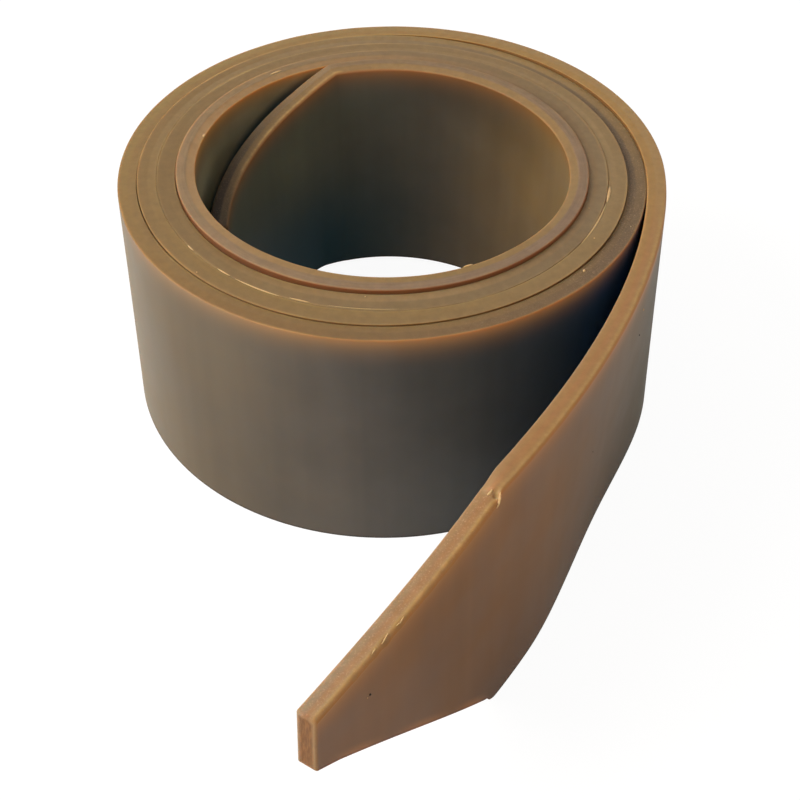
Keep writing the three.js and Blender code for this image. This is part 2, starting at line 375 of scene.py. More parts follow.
def end_stations(sizes, length, cut):
    """Distances from the nose along an end, close together at the nose, heel and shoulder."""
    shoulder = cut.taper_length
    heel = shoulder - cut.heel_setback
    marks = [sizes.nose_radius, heel - sizes.heel_ramp, heel, shoulder - cut.shoulder_ramp,
             shoulder, length]
    stations = [marks[0]]
    for start, end in zip(marks, marks[1:]):
        least = SHORT_STRETCH_STEPS if end - start <= 1 else 1
        count = max(math.ceil((end - start) / END_STEP), least)
        stations += [start + (end - start) * k / count for k in range(1, count + 1)]
    return stations


def blade_line(sizes):
    """Every station from the inner nose to the outer nose, in the part's frame."""
    line = inner_end_line(sizes) + roll_line(sizes) + free_end_line(sizes)
    axis = roll_axis(sizes)
    for i, station in enumerate(line):
        station.at = station.at + axis
        if i:
            station.along = line[i - 1].along + (station.at - line[i - 1].at).length
    return line


def roll_axis(sizes):
    """Where the roll's axis stands in the frame, found from the frame's left and back limits."""
    low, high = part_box(BLADE_NODE)
    left, back = (sizes.roll_radius - sizes.pitch * turn + sizes.foot_flare
                  for turn in (LEFT_TURN, BACK_TURN))
    return Vector((low[0] / MM + left, high[1] / MM - back))


# ---- the section across the blade ----


# How far to either side of the heel its corner is worn, in millimetres.
HEEL_WEAR_REACH = 1.6


def edges_at(sizes, from_nose, cut):
    """Heights of the lower and upper edge above the blade's own foot."""
    heel = cut.taper_length - cut.heel_setback
    nose_top = sizes.width - cut.nose_drop
    nose_foot = nose_top - sizes.nose_height
    foot, top = 0.0, sizes.width
    if from_nose < cut.taper_length:
        share = from_nose / cut.taper_length
        ramp = min((cut.taper_length - from_nose) / cut.shoulder_ramp, 1.0)
        shoulder = sizes.width - cut.shoulder_step * ramp
        top = nose_top + (shoulder - nose_top) * share
        top -= 4 * sizes.taper_hollow * share * (1 - share)
    if from_nose < heel:
        share = from_nose / heel
        ramp = min((heel - from_nose) / sizes.heel_ramp, 1.0)
        foot = nose_foot + (sizes.heel_step * smoothstep(ramp, 0.0, 1.0) - nose_foot) * share
        foot += 4 * sizes.heel_hollow * share * (1 - share)
    worn = 1 - min(abs(from_nose - heel) / HEEL_WEAR_REACH, 1.0)
    return foot + sizes.heel_wear * worn ** 2, top


def thickness_at(sizes, turn):
    """The strip fills the pitch, less a seam that opens to a hairline in some places."""
    spacing = sizes.pitch
    if turn > 0:
        spacing += sizes.roll_oval * math.sin(2 * turn * FULL_TURN)
    hairline = sum(width * hump(turn, middle, spread) for middle, spread, width in HAIRLINES)
    return spacing - sizes.seam - hairline


def taper_at(sizes, station):
    """Is 1 on the outer taper, and 0 from the shoulder on."""
    shoulder = sizes.taper_length
    return 1 - smoothstep(station.from_nose, shoulder - 1, shoulder)


def top_radius(sizes, station, outer):
    """Rounding of an upper edge: less where the turn outside it or inside it touches."""
    turn = station.turn
    if outer:
        open_share = max(1 - smoothstep(turn, *OUTER_COVERED), smoothstep(turn, *RAISED_EDGE))
    else:
        open_share = max(1 - smoothstep(turn, *INNER_COVERED), smoothstep(turn, *INNER_EDGE))
    radius = sizes.seam_radius + (sizes.edge_radius - sizes.seam_radius) * open_share
    if outer:
        radius += (sizes.free_radius - radius) * smoothstep(-turn, *FREE_START)
    if outer and station.side > 0:
        radius += (sizes.worn_radius - radius) * taper_at(sizes, station)
    return radius + (sizes.free_radius - radius) * smoothstep(turn, *INNER_END_WEAR)


# The stretches round a section, each with its rows. Rows crowd towards the ends of a face.
STRETCHES = (("outer", 22), ("top_outer", 5), ("top", 12), ("top_inner", 5), ("inner", 22),
             ("foot_inner", 5), ("foot", 4), ("foot_outer", 5))
FACE_EASING = 0.93


def section_rows():
    """The rows round a section: which stretch each belongs to and how far along it lies."""
    rows = [(name, k / count) for name, count in STRETCHES for k in range(count)]
    return rows + [("outer", 0.0)]


def section_point(sizes, station, inset, row):
    """Depth below the outer face, height and distance to the nearest edge of one row."""
    name, share = row
    thickness = thickness_at(sizes, station.turn)
    room = thickness / 2 - inset
    outer_radius, inner_radius, radius = (min(wanted, room) for wanted in (
        top_radius(sizes, station, True), top_radius(sizes, station, False), sizes.edge_radius))
    low, high = station.foot + inset, station.top - inset
    outer, inner = inset, thickness - inset
    corners = {"top_outer": (outer + outer_radius, high - outer_radius, outer_radius, 180),
               "top_inner": (inner - inner_radius, high - inner_radius, inner_radius, 90),
               "foot_inner": (inner - radius, low + radius, radius, 0),
               "foot_outer": (outer + radius, low + radius, radius, 270)}
    eased = share - FACE_EASING * math.sin(FULL_TURN * share) / FULL_TURN
    if name in corners:
        depth, height, size, start = corners[name]
        angle = math.radians(start - 90 * share)
        depth += size * math.cos(angle)
        height += size * math.sin(angle)
    elif name == "outer":
        depth, height = outer, low + radius + eased * (high - outer_radius - low - radius)
    elif name == "inner":
        span = high - inner_radius - low - radius
        depth, height = inner, high - inner_radius - eased * span
    elif name == "top":
        span = inner - inner_radius - outer - outer_radius
        depth, height = outer + outer_radius + share * span, high
    else:
        depth, height = inner - radius - share * (inner - outer - 2 * radius), low
    return depth, height, min(depth - outer, inner - depth)


def rim_share(row):
    """Is 1 on a rim and 0 on a face, and passes from one to the other over a corner."""
    name, share = row
    return {"outer": 0.0, "inner": 0.0, "top_outer": share, "foot_inner": share,
            "top_inner": 1 - share, "foot_outer": 1 - share}.get(name, 1.0)


# ---- wear and trimming of the strip ----


# Wear in millimetres. The upper rim is crowned, and more so on the free end.
CROWN, FREE_CROWN = 0.03, 0.07
# The innermost turn was sawn in two passes, and its inner half lies lower, in a step and a slope.
SAWN_STEP, SAWN_STEP_RISE, SAWN_STEP_ACROSS = 0.35, (3.15, 3.4), (0.52, 0.62)
# The raised front is nearly level, with a tilt of its own, and drags its neighbour's edge up.
FRONT_LEVELLING, FRONT_TILT, DRAGGED_UP = 0.85, 0.1, 0.62
# Where the rim sags: the turn at the middle and half the length. The third turn's is a small one.
SECOND_SAG, THIRD_SAG, THIRD_SAG_DEPTH = (1.07, 0.27), (2.1, 0.3), 0.25
# How far before the shoulder its inner face starts to bend down to it.
BEND_REACH = 4.2
# The torn notch at the shoulder: its depth, then its middle and reach, in millimetres past the
# shoulder and as shares of the thickness.
NOTCH_DEPTH, NOTCH_ALONG, NOTCH_ACROSS = 0.9, (-0.25, 0.55), (0.2, 0.2)
# Where the knife tore scallops out of the outer edge of the taper: distance from the nose, half
# length and depth. Between them that edge is rough for a length, and both reach in so far.
TORN_SCALLOPS = ((14.9, 1.5, 0.55), (18.0, 1.1, 0.35), (12.4, 0.8, 0.3), (24.6, 1.6, 0.22),
                 (29.5, 1.2, 0.2), (8.2, 1.0, 0.18))
ROUGHNESS, ROUGH_LENGTH, TORN_REACH = 0.1, 40.0, 0.9
# Below the rim, its wear dies away between these depths.
RIM_WEAR_FADE = (0.1, 1.6)


def rim_drop(sizes, station, depth):
    """How far the upper rim lies below the full height, across the strip's thickness."""
    turn = station.turn
    share = depth / thickness_at(sizes, turn)
    crown = (CROWN + FREE_CROWN * smoothstep(-turn, *FREE_START)) * (2 * share - 1) ** 2
    sawn_step = smoothstep(turn, *SAWN_STEP_RISE) * smoothstep(share, *SAWN_STEP_ACROSS)
    slope = SAWN_STEP * sawn_step * (0.35 + 0.65 * smoothstep(share, 0.55, 1.0))
    front = plateau(turn, FRONT_RISE, FRONT_FALL)
    slope += front * (FRONT_TILT * (1 - share) - FRONT_LEVELLING * slope)
    slope -= DRAGGED_UP * share * plateau(turn, DRAGGED_RISE, DRAGGED_FALL)
    sag = sizes.slump * hump(turn, *SECOND_SAG) + THIRD_SAG_DEPTH * hump(turn, *THIRD_SAG)
    ripple = 0.03 + 0.05 * abs(noise.noise(Vector((station.along / 9.0, share * 1.5, 0.3))))
    return crown + slope + sag + ripple


def shoulder_drop(sizes, station, depth):
    """The free end's shoulder is a soft bend on its inner face and a torn notch on its outer."""
    if station.side < 0:
        return 0.0
    before = station.from_nose - sizes.taper_length
    share = depth / thickness_at(sizes, station.turn)
    bend = smoothstep(before, BEND_REACH, 0.0)
    step_left = clamp(1 + before / sizes.shoulder_ramp)
    soft = min(bend, step_left) * sizes.shoulder_step * smoothstep(share, 0.35, 1.0)
    return soft + NOTCH_DEPTH * hump(before, *NOTCH_ALONG) * hump(share, *NOTCH_ACROSS)


def torn_drop(station, depth):
    """How far the outer edge of the free end's taper is torn away."""
    if station.side < 0 or station.from_nose > ROUGH_LENGTH:
        return 0.0
    torn = sum(size * hump(station.from_nose, middle, reach)
               for middle, reach, size in TORN_SCALLOPS)
    rough = ROUGHNESS * abs(noise.noise(Vector((station.from_nose / 1.3, 0.0, 4.0))))
    return (torn + rough) * (1 - smoothstep(depth, 0.0, TORN_REACH))


def face_ripple(station, height, width):
    """How far a moulded face lies below true: long low waves and the print of its neighbour."""
    waves = 0.5 + 0.5 * noise.noise(Vector((station.along / 14.0, height / 60.0, 1.7)))
    bands = 0.5 + 0.5 * noise.noise(Vector((station.along / 3.1, height / 90.0, 6.1)))
    return (0.05 * waves + 0.02 * bands) * math.sin(math.pi * clamp(height / width))


# ---- the strip's mesh ----


@dataclass
class Column:
    """One column of the strip's grid: a station, drawn in by an inset and pushed along."""

    station: Station
    inset: float = 0.0
    reach: float = 0.0
    cap: float = 0.0


# A nose has this many columns round its corner, and as many rings over its end. The slant of its
# cut dies away over a few millimetres.
NOSE_STEPS, NOSE_SLANT_REACH = 6, 4.0


def nose_columns(sizes, station):
    """Rounds a nose and closes it with rings that shrink on its middle, from outside inwards."""
    radius = sizes.nose_radius
    half = thickness_at(sizes, station.turn) / 2
    steps = range(1, NOSE_STEPS + 1)
    columns = []
    for k in steps:
        angle = math.pi / 2 * k / NOSE_STEPS
        inset, reach = radius * (1 - math.cos(angle)), radius * math.sin(angle)
        columns.append(Column(station, inset, reach, k / NOSE_STEPS))
    return columns + [Column(station, radius + (half - radius) * k / NOSE_STEPS, radius, 1.0)
                      for k in steps]


def blade_columns(sizes):
    """Every column from the middle of the inner nose to the middle of the outer one."""
    line = blade_line(sizes)
    plain = [Column(station) for station in line]
    return nose_columns(sizes, line[0])[::-1] + plain + nose_columns(sizes, line[-1])


def place_on_blade(sizes, column, depth, height):
    """The point in the frame that lies at a depth below the outer face and at a height."""
    station = column.station
    down = 1 - height / sizes.width
    out = sizes.cad_thickness / 2 - sizes.face_inset - depth
    flat = station.at + station.outward * out + station.foot_shift * down
    fade = clamp(1 - station.from_nose / NOSE_SLANT_REACH)
    share_deep = depth / thickness_at(sizes, station.turn)
    share_low = (station.top - height) / (station.top - station.foot)
    reach = column.reach + fade * (sizes.nose_skew * share_deep + sizes.nose_rake * share_low)
    flat = flat + station.heading * reach * station.side
    return Vector((flat.x, flat.y, max(height + station.rise, 0.0)))


def worn_point(sizes, column, row):
    """A point of the section with the wear of its place, and its distance to the nearest edge."""
    station = column.station
    depth, height, from_edge = section_point(sizes, station, column.inset, row)
    near_top = 1 - smoothstep(station.top - height, *RIM_WEAR_FADE)
    if near_top > 0:
        drop = rim_drop(sizes, station, depth)
        drop += shoulder_drop(sizes, station, depth) + torn_drop(station, depth)
        height -= drop * near_top
    if column.inset == 0:
        ripple = face_ripple(station, height, sizes.width)
        depth += {"outer": ripple, "inner": -ripple}.get(row[0], 0.0)
    return depth, height, from_edge


# What each point of the strip tells its material: millimetres to the nearest edge of a cut, below
# the upper edge, above the lower one and above the slit, then shares.
STRIP_ATTRIBUTES = ("edge_mm", "below_mm", "foot_mm", "rim", "sawn", "tone", "inner", "cap",
                    "foot_glow", "ground", "lift", "deep", "slit_mm", "crest", "heart", "dull")


def blade_mesh(sizes):
    """The strip as a bmesh: a grid wrapped round the section and rolled along the line."""
    columns, rows = blade_columns(sizes), section_rows()
    mesh = bmesh.new()
    last = len(columns) - 1, len(rows) - 1
    bmesh.ops.create_grid(mesh, x_segments=last[0], y_segments=last[1], size=1)
    layers = {name: mesh.verts.layers.float.new(name) for name in STRIP_ATTRIBUTES}
    uv_layer = mesh.loops.layers.uv.new("blade")
    places = {vert: [round((at + 1) / 2 * end) for at, end in zip(vert.co, last)]
              for vert in mesh.verts}
    around = row_distances(sizes, columns[len(columns) // 2].station, rows)
    for face in mesh.faces:
        for loop in face.loops:
            column, row = places[loop.vert]
            here = columns[column]
            along = here.station.along + here.station.side * (here.reach + here.inset * here.cap)
            loop[uv_layer].uv = (along * MM, around[row] * MM)
    for vert, (column, row) in places.items():
        here = columns[column]
        depth, height, from_edge = worn_point(sizes, here, rows[row])
        vert.co = place_on_blade(sizes, here, depth, height) * MM
        told = look_at(sizes, here.station, depth, height)
        told["crest"] *= 1 - here.cap
        told |= {"edge_mm": from_edge + (here.inset - from_edge) * here.cap,
                 "rim": max(rim_share(rows[row]), here.cap), "cap": here.cap}
        for name, value in told.items():
            vert[layers[name]] = value
    bmesh.ops.remove_doubles(mesh, verts=mesh.verts, dist=0.5e-6)
    ends = [edge for edge in mesh.edges if edge.is_boundary]
    bmesh.ops.holes_fill(mesh, edges=ends, sides=0)
    bmesh.ops.recalc_face_normals(mesh, faces=mesh.faces)
    return mesh


# The slit beside the inner end, by turn. It is narrowest, and painted darkest as shade, so far
# below the rim, in millimetres where it opens and for each turn from there. The bore is painted
# lighter beside it, a little near the rim and more further down. NO_SLIT is further above it than
# its painted shade reaches.
SLIT_START, SLIT_STOP = (3.29, 3.32), (3.47, 3.56)
SLIT_OPENS, SLIT_LEAST, SLIT_PER_TURN = 3.3, 0.4, 105
SLIT_LIFT, SLIT_LOW_LIFT = 1.1, 1.6
NO_SLIT = 9.0
# The free end is painted lighter towards its rim and darker towards its foot, for the light it
# lets through, by this much either way, and by this share more near the roll. In the bore,
# opposite the shoulder, the lower part is painted lighter and the upper part darker.
FREE_END_LIFT, FREE_END_LIFTED = 0.25, (0.02, 0.12)
NEAR_ROLL_LIFT, NEAR_ROLL = 0.7, (-0.25, -0.12)
BORE_LIFT, BORE_LIFTED = 0.45, (4.19, 0.16)
# Where light comes through at the free end's lower slope: distance from the nose and half length.
FOOT_GLOWS = ((34.0, 5.5), (22.0, 8.0), (8.0, 7.0))
# Where the bore is painted blue-black, as shade: between these shares of the height, and these
# turns.
DEEP_UP, DEEP_TURNS = (0.1, 0.72), (4.16, 4.34)
# The innermost turn is sawn along its outer half, which shows as streaks.
SAWN_TURNS, SAWN_ACROSS = (3.2, 3.45), (0.5, 0.6)
# Grinding dust on the inner taper, and along the rim that faces the free end.
INNER_DUST, SEAM_DUST, SEAM_DUSTED = 0.25, 0.8, (0.96, 0.26)
# Pale crests of painted light coming through an edge, a red heart and a dull edge: how strong,
# and the middle and reach in millimetres from the outer face, or from the inner one. The inner
# end's crest stops before its tip.
INNER_CREST, INNER_CREST_ACROSS, INNER_TIP = 0.8, (0.4, 0.5), (4.42, 4.5)
FREE_CREST, FREE_CREST_ACROSS = 0.5, (0.6, 0.55)
HEART, HEART_ACROSS = 0.4, (1.7, 1.0)
DULL, DULL_ACROSS, DULL_START = 0.6, (0.0, 0.55), (0.05, 0.2)


def look_at(sizes, station, depth, height):
    """How a point of the strip looks for its place: what light does there, and how it was cut."""
    turn, from_nose = station.turn, station.from_nose
    thickness, free = thickness_at(sizes, turn), smoothstep(-turn, *FREE_START)
    from_inner, below = thickness - depth, station.top - height
    across, up = depth / thickness, height / sizes.width
    slit_depth = SLIT_LEAST + SLIT_PER_TURN * max(turn - SLIT_OPENS, 0.0)
    beside_slit = plateau(turn, SLIT_START, SLIT_STOP)
    slit_share = below / slit_depth
    # Painted light: the bore beside the slit is lighter, a little near the rim and more further
    # down.
    slit = SLIT_LIFT * smoothstep(slit_share, 0.1, 0.4)
    slit += SLIT_LOW_LIFT * smoothstep(slit_share, 0.5, 1.0)
    # Painted light and shade: the free end lighter towards its rim and darker below, and the bore
    # opposite the shoulder lighter below and darker above.
    near_roll = 1 + NEAR_ROLL_LIFT * smoothstep(turn, *NEAR_ROLL)
    thin = FREE_END_LIFT * near_roll * smoothstep(-turn, *FREE_END_LIFTED)
    thin -= BORE_LIFT * hump(turn, *BORE_LIFTED)
    if station.side < 0:
        # The inner end: dusty on its taper, and painted pale along its inner edge, where light
        # comes through.
        foot_glow = 0.0
        ground = INNER_DUST if from_nose < sizes.inner_taper_length else 0.0
        crest = INNER_CREST * hump(from_inner, *INNER_CREST_ACROSS)
        crest *= 1 - smoothstep(turn, *INNER_TIP)
    else:
        # The roll and the free end, which is dusty on its taper and painted pale along its outer
        # edge, where light comes through.
        taper = taper_at(sizes, station)
        foot_glow = sum(hump(from_nose, middle, reach) for middle, reach in FOOT_GLOWS)
        ground = max(taper, SEAM_DUST * hump(turn, *SEAM_DUSTED))
        crest = FREE_CREST * (1 + taper) * hump(depth, *FREE_CREST_ACROSS) * free
    return {
        "below_mm": below, "foot_mm": height - station.foot,
        "slit_mm": NO_SLIT + (slit_depth - below - NO_SLIT) * beside_slit,
        "tone": (turn - FIRST_TONE) / (LAST_TONE - FIRST_TONE), "inner": across,
        "foot_glow": foot_glow, "ground": ground, "crest": crest,
        "lift": 1 + slit * beside_slit + thin * (2 * up - 1),
        "deep": (1 - smoothstep(up, *DEEP_UP)) * smoothstep(turn, *DEEP_TURNS),
        "sawn": smoothstep(turn, *SAWN_TURNS) * (1 - smoothstep(across, *SAWN_ACROSS)),
        "heart": HEART * hump(depth, *HEART_ACROSS) * free,
        "dull": DULL * hump(from_inner, *DULL_ACROSS) * smoothstep(-turn, *DULL_START)}


def row_distances(sizes, station, rows):
    """Distance round the section from the first row, for the texture map."""
    points = [section_point(sizes, station, 0.0, row)[:2] for row in rows]
    distances = [0.0]
    for here, there in zip(points, points[1:]):
        distances.append(distances[-1] + math.dist(here, there))
    return distances


# ---- flash: thin slivers and crumbs that the knife left ----


@dataclass
class Sliver:
    """A sliver on the roll: where it starts and ends, how deep in the rim, and how big it is."""

    start: float
    end: float
    depth: float
    width: float
    height: float = 0.12


# Burrs along the seam of the second and third turns, a bright sliver beside the next seam, and
# the flap that hangs in the bore. Turns first, then millimetres.
SLIVERS = (
    Sliver(2.593, 2.601, 0.1, 0.16), Sliver(2.626, 2.639, 0.1, 0.16),
    Sliver(2.642, 2.680, 0.05, 0.13), Sliver(2.684, 2.699, 0.3, 0.14),
    Sliver(2.709, 2.757, 0.35, 0.06, 0.05), Sliver(1.952, 1.973, 3.1, 0.34, 0.16),
    Sliver(1.900, 1.952, 3.22, 0.18, 0.12), Sliver(3.810, 3.819, 3.36, 0.20, 0.14),
    Sliver(3.340, 3.352, 1.3, 0.22), Sliver(3.452, 3.457, 3.2, 0.30, 0.22))
# Steps a turn of a long sliver.
SLIVER_STEPS = 300
# Crumbs of ground rubber: turn, depth in the rim and radius.
CRUMBS = ((0.881, 2.4, 0.26), (1.911, 2.0, 0.12), (2.941, 2.3, 0.1), (1.62, 0.6, 0.12),
          (0.935, 1.1, 0.09), (2.734, 2.9, 0.12))
# The torn shoulder: a curl of skin that lies along the outer edge, and a nub on the rim. Then
# shreds of skin along the torn scallops. Each has its width, its height and its points, by
# distance from the nose, depth and distance below the rim.
FREE_SLIVERS = (
    (0.24, 0.3, ((41.5, 0.05, -0.1), (41.2, -0.06, 0.2), (40.85, -0.08, 0.6),
                 (40.35, -0.04, 1.05))),
    (0.2, 0.18, ((41.4, 1.35, 0.02), (41.05, 1.6, 0.0), (40.75, 1.9, 0.0))),
    (0.11, 0.06, ((19.2, 0.5, 0.05), (18.2, 0.3, 0.12), (17.2, 0.45, 0.1))),
    (0.11, 0.06, ((16.0, 0.7, 0.05), (15.0, 0.5, 0.12), (14.0, 0.3, 0.2))),
    (0.11, 0.06, ((13.2, 0.6, 0.05), (12.2, 0.45, 0.1))))
# Grains sunk in the free end's outer face: distance from the nose, distance below the rim and
# radius, and how deep they are sunk.
PALE_GRAINS = ((96.4, 6.8, 0.2), (10.2, 7.3, 0.12))
DARK_GRAINS = ((96.4, 12.5, 0.16), (10.6, 7.2, 0.2), (75.0, 21.0, 0.12))
GRAIN_DEPTH = 0.05


def rim_point(sizes, turn, depth):
    """A point on the roll's rim, in the part's frame, and its station."""
    station = rolled_station(sizes, turn)
    station.at = station.at + roll_axis(sizes)
    height = sizes.width - rim_drop(sizes, station, depth)
    return place_on_blade(sizes, Column(station), depth, height), station


def free_point(sizes, line, from_nose, depth, below_top):
    """A point of the free end and its station, the nearest to a distance from the nose."""
    ends = [station for station in line if station.side > 0 and station.from_nose < math.inf]
    station = min(ends, key=lambda station: abs(station.from_nose - from_nose))
    return place_on_blade(sizes, Column(station), depth, station.top - below_top), station


def add_sliver(mesh, spine, width, height):
    """Adds a closed sliver along a spine of points and their stations, widest in its middle."""
    around, last = 6, len(spine) - 1
    grown = bmesh.ops.create_grid(mesh, x_segments=last, y_segments=around, size=1)
    for vert in grown["verts"]:
        i = round((vert.co.x + 1) / 2 * last)
        place, station = spine[i]
        angle = (vert.co.y + 1) / 2 * FULL_TURN
        fat = max(math.sin(math.pi * i / last), 0.0) ** 0.6
        offset = station.outward.to_3d() * (math.cos(angle) * width * fat)
        offset += Vector((0, 0, 1)) * (math.sin(angle) * height * fat)
        vert.co = (place + offset) * MM
    bmesh.ops.remove_doubles(mesh, verts=grown["verts"], dist=1e-7)


def roll_sliver(sizes, mesh, sliver):
    """Lays one sliver on the rim of the roll."""
    length = sliver.end - sliver.start
    steps = max(round(length * SLIVER_STEPS), 6)
    spine = [rim_point(sizes, sliver.start + length * (i / steps), sliver.depth)
             for i in range(steps + 1)]
    add_sliver(mesh, spine, sliver.width, sliver.height)


def free_sliver(sizes, mesh, line, width, height, points):
    """Lays one sliver through points of the free end, in quarters of the way between them."""
    stops = [[a + (b - a) * share for a, b in zip(first, second)]
             for first, second in zip(points, points[1:]) for share in (0.0, 0.25, 0.5, 0.75)]
    spine = [free_point(sizes, line, *stop) for stop in (*stops, points[-1])]
    add_sliver(mesh, spine, width, height)


def add_crumb(mesh, place, radius):
    """Adds a small lump half sunk in the surface."""
    grown = bmesh.ops.create_icosphere(mesh, subdivisions=2, radius=radius * MM)
    for vert in grown["verts"]:
        rough = 1 + 0.35 * noise.noise(vert.co / MM * 3 + place)
        vert.co = vert.co * rough + place * MM


def flash_mesh(sizes):
    """All slivers and crumbs as one bmesh of closed bodies."""
    mesh = bmesh.new()
    line = blade_line(sizes)
    for sliver in SLIVERS:
        roll_sliver(sizes, mesh, sliver)
    for sliver in FREE_SLIVERS:
        free_sliver(sizes, mesh, line, *sliver)
    for turn, depth, radius in CRUMBS:
        add_crumb(mesh, rim_point(sizes, turn, depth)[0], radius)
    bmesh.ops.recalc_face_normals(mesh, faces=mesh.faces)
    return mesh


def grain_mesh(sizes, grains):
    """Grains as one bmesh of closed lumps."""
    mesh = bmesh.new()
    line = blade_line(sizes)
    for from_nose, below, radius in grains:
        add_crumb(mesh, free_point(sizes, line, from_nose, GRAIN_DEPTH, below)[0], radius)
    bmesh.ops.recalc_face_normals(mesh, faces=mesh.faces)
    return mesh


# ---- materials ----


def add_node(tree, kind, **given):
    """Adds a shader node with what is given: properties, sockets, a range or a ramp's stops.

    A socket goes by its name, or by its number after an underscore. It takes a constant, another
    node's output, or a node, whose first live output it reads. A span is a range: from, then to.
    """
    node = tree.nodes.new("ShaderNode" + kind)
    for key, value in given.items():
        if key == "stops":
            ramp = node.color_ramp
            while len(ramp.elements) < len(value):
                ramp.elements.new(0.5)
            for element, (position, _) in zip(ramp.elements, value):
                element.position = position
            for element, (_, tone) in zip(ramp.elements, value):
                element.color = tone
        elif key == "span":
            for socket, end in zip(node.inputs[1:5], value):
                socket.default_value = end
        elif hasattr(node, key):
            setattr(node, key, value)
        else:
            socket = node.inputs[int(key[1:]) if key[1:].isdigit() else key.replace("_", " ")]
            if isinstance(value, bpy.types.Node):
                value = next(output for output in value.outputs if output.enabled)
            if isinstance(value, bpy.types.NodeSocket):
                tree.links.new(value, socket)
            else:
                socket.default_value = value
    return node


def new_material(name):
    """An empty node material, and add_node for its tree."""
    material = bpy.data.materials.new(name)
    material.use_nodes = True
    material.node_tree.nodes.clear()
    return material, partial(add_node, material.node_tree)


def tone_stops(tones):
    """Ramp stops of a list of tones by turn."""
    span = LAST_TONE - FIRST_TONE
    return [((turn - FIRST_TONE) / span, linear(tone)) for turn, tone in tones]


